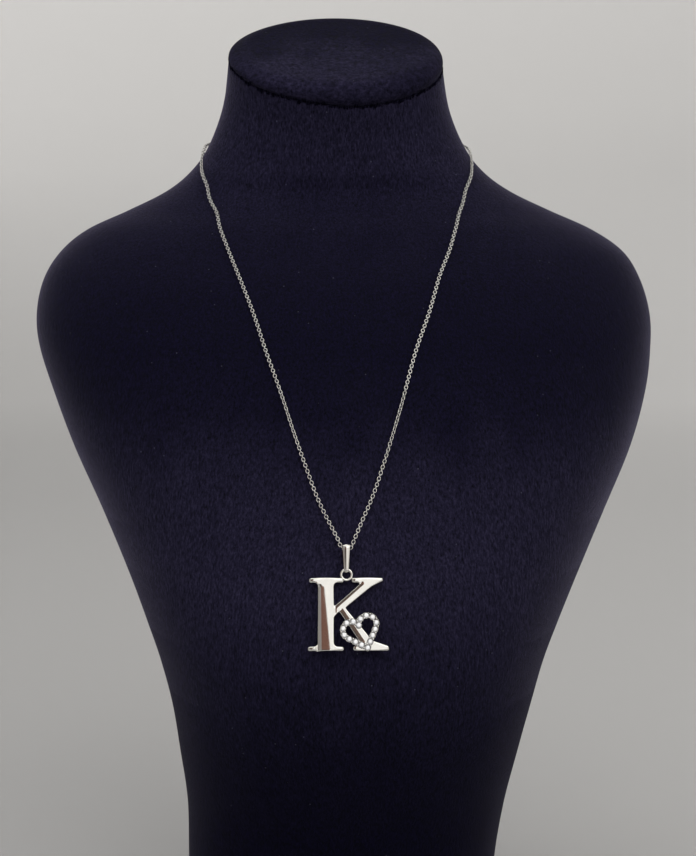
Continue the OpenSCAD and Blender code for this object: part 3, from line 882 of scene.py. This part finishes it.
ring_u = LETTER_W * 0.48
ring_v = LETTER_H + RING_D * 0.218
ring_r = (RING_D - RING_WIRE) / 2
letter_lean = max(rest_lean(t) for t in LEANS_ON)
letter_right = np.array([1.0, 0, 0])
letter_up = np.array([0, math.sin(letter_lean), math.cos(letter_lean)])
letter_out = np.array([0, -math.cos(letter_lean), math.sin(letter_lean)])


def in_letter(points):
    """Points from the letter's own plane, hung by its ring from the bail."""
    own = np.asarray(points, float) - [ring_u, ring_v + ring_r, LETTER_T / 2]
    return ring_point + own @ np.array([letter_right, letter_up, letter_out])


letter_rim = divided(rounded(LETTER_CORNERS, 0), 0.5)
guides = [divided(rounded(LETTER_CORNERS, inset), 0.3) for inset in EDGE_INSETS]
guides.append(free_points([letter_rim], DOME_SPACING, EDGE_INSETS[-1] + DOME_SPACING * 0.6))
front, triangles, rims = filled([letter_rim], guides)
swell = swelling(front, triangles, rims) / DOME_RADIUS
swell = swell / (1 + swell**8) ** 0.125
beside = front[:, 0] - (stem_l + stem_r) / 2
over = np.clip(-beside - SHOULDER_AT, 0, 2)
shaped = STEM_TWIST * (LETTER_H - front[:, 1]) * beside - STEM_CROWN * beside**2
shaped -= SHOULDER_FALL * over + 0.08 * over**2
shaped *= np.clip((STEM_REACH - np.abs(beside)) / 0.8, 0, 1)
shaped *= np.clip((top_under - 0.2 - front[:, 1]) / 1.2, 0, 1)
for start, finish, width, slope in (
    ((LETTER_W * 0.386, LETTER_H * 0.53), (leg_foot, SERIF_H * 1.2), LEG_BEVEL_W, LEG_BEVEL),
    ((LETTER_W * 0.653, top_under), (stem_r, LETTER_H * 0.609), ARM_BEVEL_W, ARM_BEVEL),
):
    start, finish = np.array(start), np.array(finish)
    way = unit(finish - start)
    along, off = (front - start) @ way, (front - start) @ left_of(way)
    ends = np.clip((along + 0.9) / 0.8, 0, 1)
    ends *= np.clip((np.linalg.norm(finish - start) + 0.4 - along) / 0.8, 0, 1)
    shaped -= slope * np.clip(width - off, 0, width) * ends * (off > -0.1)
front_z = EDGE_HEIGHT + DOME_HEIGHT * swell + np.clip(swell * 1.4 - 0.2, 0, 1) * shaped
front_z = np.clip(front_z, 0.6, LETTER_T)
points, faces = plate(front, front_z, triangles, rims, 0)
letter_silver = polished("letter_silver", (0.81, 0.80, 0.77), 0.08, 500, 0.1)
piece("letter_plate", in_letter(points), faces, letter_silver, "pendant",
      ["letter"], 60)


def wire_ring(centre, radius, wire, steps, sides):
    """A closed ring of round wire in the letter's plane."""
    points = []
    for k in range(steps):
        turn = 2 * math.pi * k / steps
        for j in range(sides):
            roll = 2 * math.pi * j / sides
            reach = radius + wire / 2 * math.cos(roll)
            points.append((centre[0] + reach * math.cos(turn),
                           centre[1] + reach * math.sin(turn),
                           centre[2] + wire / 2 * math.sin(roll)))
    return points, tube_faces(steps, sides)


points, faces = wire_ring((ring_u, ring_v, LETTER_T / 2), ring_r, RING_WIRE, 56, 16)
piece("hanging_ring", in_letter(points), faces, letter_silver, "pendant",
      ["letter"])


# Heart setting: an open heart of cast silver soldered across the leg of the letter. Its
# band carries sixteen cut seats, and pairs of small raised beads between them grip the
# stones. The edges are scalloped round each stone.
LOBE_R = 2.85
LOBE_X = 2.75
TIP_DROP = 7.1
BAND_W = 2.1
BAND_T = 1.5
HEART_TURN = math.radians(21)
STONE_COUNT = 16
STONE_D = 1.7
SEAT_GAP = 0.06
PRONG_D = 0.6
SCALLOP = 0.42
SCALLOP_REACH = 0.6
RIM_STEP = 0.16
BAND_EDGE = 0.16
BAND_SPACING = 0.11

cleft = math.sqrt(LOBE_R**2 - LOBE_X**2)
tip_far = math.hypot(LOBE_X, TIP_DROP)
straight = math.sqrt(tip_far**2 - LOBE_R**2)
straight_angle = math.atan2(TIP_DROP, LOBE_X) - math.asin(LOBE_R / tip_far)
cleft_angle = math.atan2(cleft, -LOBE_X)
join_angle = straight_angle - math.pi / 2
lobe_length = LOBE_R * (cleft_angle - join_angle)
half_length = lobe_length + straight
pitch = 2 * half_length / STONE_COUNT
band_low = LETTER_T * 0.61
band_top = band_low + BAND_T


def heart_point(s):
    """A point of the heart's middle line, s along it from the cleft, and its direction."""
    s = s % (2 * half_length)
    if s > half_length:
        point, way = heart_point(2 * half_length - s)
        return point * [-1, 1], way * [1, -1]
    if s < lobe_length:
        angle = cleft_angle - s / LOBE_R
        return (np.array([LOBE_X, 0]) + LOBE_R * np.array([math.cos(angle), math.sin(angle)]),
                np.array([math.sin(angle), -math.cos(angle)]))
    way = -np.array([math.cos(straight_angle), math.sin(straight_angle)])
    return np.array([0, -TIP_DROP]) - (half_length - s) * way, way


def arc(centre, radius, start, end, steps):
    return [
        np.array(centre) + radius * np.array([math.cos(a), math.sin(a)])
        for a in np.linspace(start, end, steps)
    ]


half_band = BAND_W / 2
out_r = LOBE_R + half_band
in_r = LOBE_R - half_band
outer_half = (
    arc((LOBE_X, 0), out_r, math.acos(-LOBE_X / out_r), join_angle, 40)
    + arc((0, -TIP_DROP), half_band, join_angle, -math.pi / 2, 10)
)
inner_half = (
    arc((0, cleft), half_band, -math.pi / 2, math.radians(-15.2), 10)
    + arc((LOBE_X, 0), in_r, cleft_angle, join_angle, 34)[1:]
    + [np.array([0, -TIP_DROP + half_band / math.cos(straight_angle)])]
)


def closed(half):
    """A closed loop from its right half, given from the top middle to the bottom middle."""
    left = [p * [-1, 1] for p in half[::-1] if abs(p[0]) > 1e-6]
    return divided(np.array(half + left)[::-1], RIM_STEP)


seats = [heart_point(i * pitch) for i in range(STONE_COUNT)]
gaps = [heart_point((i + 0.5) * pitch) for i in range(STONE_COUNT)]


def scalloped(loop):
    """The loop drawn in a little between each two stones."""
    out = []
    for p in loop:
        for middle, way in gaps:
            along, across = (p - middle) @ way, (p - middle) @ left_of(way)
            if abs(along) < SCALLOP_REACH and abs(across) < 1.4:
                pull = SCALLOP * math.cos(along / SCALLOP_REACH * math.pi / 2) ** 2
                p = p - math.copysign(pull, across) * left_of(way)
                break
        out.append(p)
    return np.array(out)


band_rims = [scalloped(closed(outer_half)), scalloped(closed(inner_half))]
inner_guides = []
for i, loop in enumerate(band_rims):
    turn = np.roll(loop, -1, axis=0) - np.roll(loop, 1, axis=0)
    inward = unit(np.column_stack([-turn[:, 1], turn[:, 0]])) * (1 if i == 0 else -1)
    inner_guides += [loop + inward * BAND_EDGE * share for share in (0.25, 0.65)]
inner_guides.append(free_points(band_rims, BAND_SPACING, BAND_EDGE * 0.9))
band, triangles, rims = filled(band_rims, inner_guides)
edge = np.minimum(*(from_edge(band, loop)[0] for loop in band_rims))
near = np.clip(1 - edge / BAND_EDGE, 0, 1)
band_z = band_top - BAND_EDGE * (1 - np.sqrt(1 - near**2))
for middle, _ in seats:
    away = np.linalg.norm(band - middle, axis=1)
    dip = np.clip((STONE_D / 2 + SEAT_GAP - away) / 0.1, 0, 1) * 0.22
    dip += np.clip((STONE_D * 0.68 - away) / 0.25, 0, 1) * 0.14
    dip += np.clip(STONE_D / 2 - 0.05 - away, 0, 1) * 0.92
    band_z -= dip
points, faces = plate(band, band_z, triangles, rims, band_low)
turned = np.array([[math.cos(HEART_TURN), math.sin(HEART_TURN)],
                   [-math.sin(HEART_TURN), math.cos(HEART_TURN)]])


def in_heart(points):
    """Points from the heart's own plane, where it lies across the letter's leg."""
    points = np.asarray(points, float)
    flat = points[:, :2] @ turned + [LETTER_W * 0.637, LETTER_H * 0.314]
    return in_letter(np.column_stack([flat, points[:, 2]]))


# The setting's silver is much darker than the letter's: painted shade in the gaps between the
# stones.
setting_shaded_silver = polished("setting_shaded_silver", (0.38, 0.37, 0.36), 0.20, 700, 0.1)
piece("heart_band", in_heart(points), faces, setting_shaded_silver, "pendant",
      ["letter"], 50)

BEAD_ROWS = [(0.90, 0.0), (0.93, 0.45), (1.0, 0.62), (0.93, 0.80), (0.72, 0.93), (0.38, 1.0)]
BEAD_SIDES = 12
bead_out = BAND_W / 2 - 0.72 * PRONG_D
bead_foot, bead_top = band_low + BAND_T * 0.6, band_top + 0.2 * STONE_D
points, faces = [], []
for middle, way in gaps:
    for side in (-1, 1):
        base = len(points)
        centre = middle + side * bead_out * left_of(way)
        for reach, rise in BEAD_ROWS:
            for k in range(BEAD_SIDES):
                turn = 2 * math.pi * k / BEAD_SIDES
                flat = centre + PRONG_D / 2 * reach * np.array([math.cos(turn), math.sin(turn)])
                points.append((*flat, bead_foot + (bead_top - bead_foot) * rise))
        last = (len(BEAD_ROWS) - 1) * BEAD_SIDES
        for r in range(len(BEAD_ROWS) - 1):
            for k in range(BEAD_SIDES):
                a, b = base + r * BEAD_SIDES, base + (r + 1) * BEAD_SIDES
                j = (k + 1) % BEAD_SIDES
                faces.append((a + k, a + j, b + j, b + k))
        faces.append(tuple(base + last + k for k in range(BEAD_SIDES)))
        faces.append(tuple(base + k for k in range(BEAD_SIDES))[::-1])
bead_silver = polished("bead_silver", (0.84, 0.83, 0.81), 0.08, 700, 0.1)
piece("heart_beads", in_heart(points), faces, bead_silver, "pendant",
      ["letter"], 70)


# Stones: sixteen small round brilliants of clear white crystal, each cut with a table,
# stars, kites and a pointed back, and held at its girdle by the beads of the setting.
TABLE, CROWN, GIRDLE, PAVILION = 0.29, 0.16, 0.04, 0.42
STAR_R, CULET_R = 0.385, 0.11


def brilliant(d):
    """Points and flat facets of a round brilliant, its girdle's lower edge at height 0."""
    half_step = math.pi / 8

    def ring(count, radius, height, start):
        return [(d * radius * math.cos(start + 2 * math.pi * k / count),
                 d * radius * math.sin(start + 2 * math.pi * k / count), d * height)
                for k in range(count)]

    star_share = (STAR_R * math.cos(half_step) - TABLE) / (0.5 - TABLE)
    culet_z = -PAVILION * (1 - CULET_R * math.cos(half_step) / 0.5)
    points = (
        ring(8, TABLE, GIRDLE + CROWN, 0)
        + ring(8, STAR_R, GIRDLE + CROWN * (1 - star_share), half_step)
        + ring(16, 0.5, GIRDLE, 0) + ring(16, 0.5, 0, 0)
        + ring(8, CULET_R, culet_z, half_step) + [(0, 0, -PAVILION * d)]
    )
    faces = [tuple(range(8))]
    for k in range(8):
        j = (k + 1) % 8
        faces.append((k, 8 + k, j))
        faces.append((k, 8 + (k - 1) % 8, 16 + 2 * k, 8 + k))
        faces.append((8 + k, 16 + 2 * k, 17 + 2 * k))
        faces.append((8 + k, 17 + 2 * k, 16 + (2 * k + 2) % 16))
        faces.append((48, 40 + k, 32 + 2 * k, 40 + (k - 1) % 8))
        faces.append((40 + k, 33 + 2 * k, 32 + 2 * k))
        faces.append((40 + k, 32 + (2 * k + 2) % 16, 33 + 2 * k))
    for k in range(16):
        j = (k + 1) % 16
        faces.append((16 + k, 32 + k, 32 + j, 16 + j))
    return np.array(points), faces


gem_points, gem_faces = brilliant(STONE_D)
points, faces = [], []
draw = random.Random(7)
for i, (middle, _) in enumerate(seats):
    turn = draw.uniform(0, math.pi / 4)
    spin = np.array([[math.cos(turn), math.sin(turn), 0], [-math.sin(turn), math.cos(turn), 0],
                     [0, 0, 1]])
    points.append(gem_points @ spin + [*middle, band_top - 0.1 * STONE_D])
    faces += [tuple(i * len(gem_points) + v for v in face) for face in gem_faces]
crystal, add, join = material_with("white_crystal", Roughness=0.02, IOR=2.16, Metallic=0.6)
place = add("TexCoord")
grown = add("TexNoise", {"Vector": place.outputs["Object"], "Scale": 900.0, "Detail": 2.0})
clear = colour_ramp(add, grown.outputs["Fac"],
                    [(0.35, (0.90, 0.92, 0.96)), (0.65, (0.98, 0.98, 1.0))])
join(clear.outputs[0], "Base Color")
piece("heart_stones", in_heart(np.concatenate(points)), faces, crystal, "pendant",
      [f"stone_{k + 1:02d}" for k in range(STONE_COUNT)], 1)


# Studio: a pale seamless bowl of card under and round the stand, soft light from high on
# the right and weakly from the left, and a brown and a grey card that the silver shows.
BOWL = [(0, 0), (0.5, 0), (1.0, 0.0), (1.5, 0.03), (1.9, 0.14), (2.25, 0.36), (2.5, 0.7),
        (2.62, 1.1), (2.66, 1.6), (2.66, 2.2)]
BOWL_SIDES = 96
BOWL_H = 0.7
CARD_DISTANCE = 1.35
CARD_COLUMNS = 14
# Heights in metres, and the card's grey there: darker low down and lighter towards its rim,
# painted light and shade.
BOWL_GREYS_AND_SHADE = [(0.0, 0.36), (0.03, 0.44), (0.19, 0.52), (0.40, 0.63), (0.70, 0.74)]

steps = [spline(BOWL, t) for t in np.linspace(0, len(BOWL) - 1, 64)][1:]
points = [(0, 0, -0.0005)]
for r, z in steps:
    points += [(r * math.cos(2 * math.pi * k / BOWL_SIDES),
                r * math.sin(2 * math.pi * k / BOWL_SIDES), max(z, 0) - 0.0005)
               for k in range(BOWL_SIDES)]
faces = [(0, 1 + k, 1 + (k + 1) % BOWL_SIDES) for k in range(BOWL_SIDES)]
for r in range(len(steps) - 1):
    for k in range(BOWL_SIDES):
        a, b, j = 1 + r * BOWL_SIDES, 1 + (r + 1) * BOWL_SIDES, (k + 1) % BOWL_SIDES
        faces.append((a + k, b + k, b + j, a + j))
card, add, join = material_with("pale_card", Roughness=0.9)
place = add("TexCoord")
split = add("SeparateXYZ", {0: place.outputs["Object"]})
# Painted light from the right: low down the card is darker to the left and lighter to the right, a
# little the other way near its rim.
slope = add("MapRange", {"Value": split.outputs["Z"], "From Min": 0.0, "From Max": 0.3,
                         "To Min": 0.30, "To Max": -0.10})
across = add("Math", {0: split.outputs["X"], 1: slope.outputs[0], 2: 0.97},
             operation="MULTIPLY_ADD")
rise = add("MapRange", {"Value": split.outputs["Z"], "From Min": 0.0, "From Max": BOWL_H})
tone = colour_ramp(add, rise.outputs[0], [
    (z / BOWL_H, (grey, grey * 0.992, grey * 0.984)) for z, grey in BOWL_GREYS_AND_SHADE
])
lit = add("VectorMath", {0: tone.outputs[0], 1: across.outputs[0]}, operation="MULTIPLY")
join(lit.outputs[0], "Base Color")
bowl = shape("bowl", points, faces, card)
bowl.data.shade_smooth()


def soft_light(name, place, target, width, height, power, colour):
    data = bpy.data.lights.new(name, "AREA")
    data.shape = "RECTANGLE"
    data.size, data.size_y = width, height
    data.energy = power
    data.color = colour
    light = bpy.data.objects.new(name, data)
    turn = (Vector(target) - Vector(place)).to_track_quat("-Z", "Y")
    light.matrix_world = Matrix.Translation(place) @ turn.to_matrix().to_4x4()
    light.visible_camera = False
    bpy.context.scene.collection.objects.link(light)
    return light


def from_letter(azimuth, elevation, distance):
    """A place seen from the letter at an azimuth to the right of straight ahead."""
    a, e = math.radians(azimuth), math.radians(elevation)
    return (distance * math.sin(a) * math.cos(e), -0.07 - distance * math.cos(a) * math.cos(e),
            0.13 + distance * math.sin(e))


middle = (0, -0.05, 0.14)
panel = soft_light("panel_light", from_letter(27, 32, 1.5), middle, 1.95, 2.26, 7.1,
                   (1.0, 0.985, 0.95))
panel.visible_diffuse = False
key = soft_light("key_light", from_letter(30, 48, 1.4), middle, 1.1, 1.1, 4.8, (1.0, 0.98, 0.95))
key.visible_glossy = False
side = soft_light("side_light", from_letter(-100, 45, 1.5), middle, 0.7, 0.8, 3.4,
                  (0.96, 0.97, 1))
side.visible_glossy = False


def hung_card(name, left, right, low, high, dyes):
    """A curved card round the letter that only polished metal sees, dyed from its foot up."""
    paper, add, join = material_with(name, Roughness=0.9)
    place = add("TexCoord")
    split = add("SeparateXYZ", {0: place.outputs["Object"]})
    rise = add("MapRange", {"Value": split.outputs["Z"],
                            "From Min": from_letter(0, low, CARD_DISTANCE)[2],
                            "From Max": from_letter(0, high, CARD_DISTANCE)[2]})
    join(colour_ramp(add, rise.outputs[0], dyes).outputs[0], "Base Color")
    points = []
    for k in range(CARD_COLUMNS + 1):
        azimuth = left + (right - left) * k / CARD_COLUMNS
        points += [from_letter(azimuth, edge, CARD_DISTANCE) for edge in (low, high)]
    faces = [(2 * k, 2 * k + 2, 2 * k + 3, 2 * k + 1) for k in range(CARD_COLUMNS)]
    card = shape(name, points, faces, paper)
    card.visible_camera = False
    card.visible_diffuse = False
    card.visible_shadow = False
    card.visible_transmission = False


hung_card("brown_card", -34, -6, 2, 60, [
    (0.28, (0.17, 0.14, 0.12)), (0.42, (0.36, 0.175, 0.13)), (0.56, (0.30, 0.15, 0.115)),
    (0.72, (0.14, 0.112, 0.095))])
hung_card("grey_card", -110, -34, 2, 60, [(0.0, (0.58, 0.55, 0.54)), (1.0, (0.64, 0.605, 0.595))])

world = bpy.data.worlds.new("soft_room")
world.use_nodes = True
sky = world.node_tree.nodes["Background"]
sky.inputs["Color"].default_value = (1.0, 0.985, 0.965, 1)
sky.inputs["Strength"].default_value = 1.2
bpy.context.scene.world = world
bpy.context.scene.view_settings.view_transform = "Standard"
